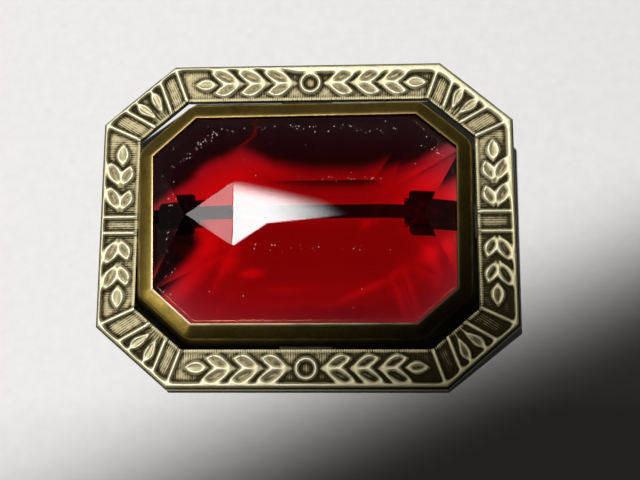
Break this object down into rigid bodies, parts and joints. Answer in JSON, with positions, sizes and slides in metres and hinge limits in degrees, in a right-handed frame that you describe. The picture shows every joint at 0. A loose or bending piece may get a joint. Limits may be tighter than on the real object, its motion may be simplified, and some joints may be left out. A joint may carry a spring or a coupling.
{
  "type": "brooch",
  "caption": "Octagonal costume brooch: stamped laurel frame, brass collet with an open-backed red glass stone, and a hinged pin with a C-shaped catch on the back.",
  "frame": {"origin": "centre of the brooch's outline, at the lowest point of the fittings on its back", "axes": "+X along the brooch's length towards the pin's joint, +Y across it towards its upper edge, +Z out of its face"},
  "size_m": [0.048, 0.038, 0.0109],
  "materials": {
    "antique_silver": "stamped silver-tone metal, dark in the recesses and bright on the worn edges",
    "aged_brass": "olive-bronze aged brass, satin",
    "ruby_glass": "clear ruby-red faceted glass, polished, with fine scratches on its edges",
    "solder": "dull soldered tab",
    "fitting_brass": "dull brass fitting",
    "pin_steel": "drawn wire, slightly tarnished"
  },
  "bodies": {
    "brooch": {"leaf_frame": "antique_silver", "bezel": "aged_brass", "stone_seat": "aged_brass", "stone": "ruby_glass", "bridge_top": "solder", "bridge_bottom": "solder", "bridge_left": "solder", "bridge_right": "solder", "pin_bar": "fitting_brass", "joint_plate": "fitting_brass", "joint_knuckle": "fitting_brass", "joint_rivet": "pin_steel", "catch_plate": "fitting_brass", "catch_hook": "fitting_brass"},
    "pin_head": {"pin_head": "pin_steel"},
    "pin_stem": {"pin_stem": "pin_steel"}
  },
  "joints": [
    {"name": "pin_swing", "type": "hinge", "parent": "brooch", "child": "pin_head", "pos_m": [0.0128, 0.0013, 0.00095], "axis": [0, -1, 0], "range_deg": [0, 110]},
    {"name": "pin_flex", "type": "hinge", "parent": "pin_head", "child": "pin_stem", "pos_m": [0.0111, 0.0013, 0.00095], "axis": [0, 0, 1], "range_deg": [0, 4], "stiffness_Nm_per_rad": 0.05}
  ]
}
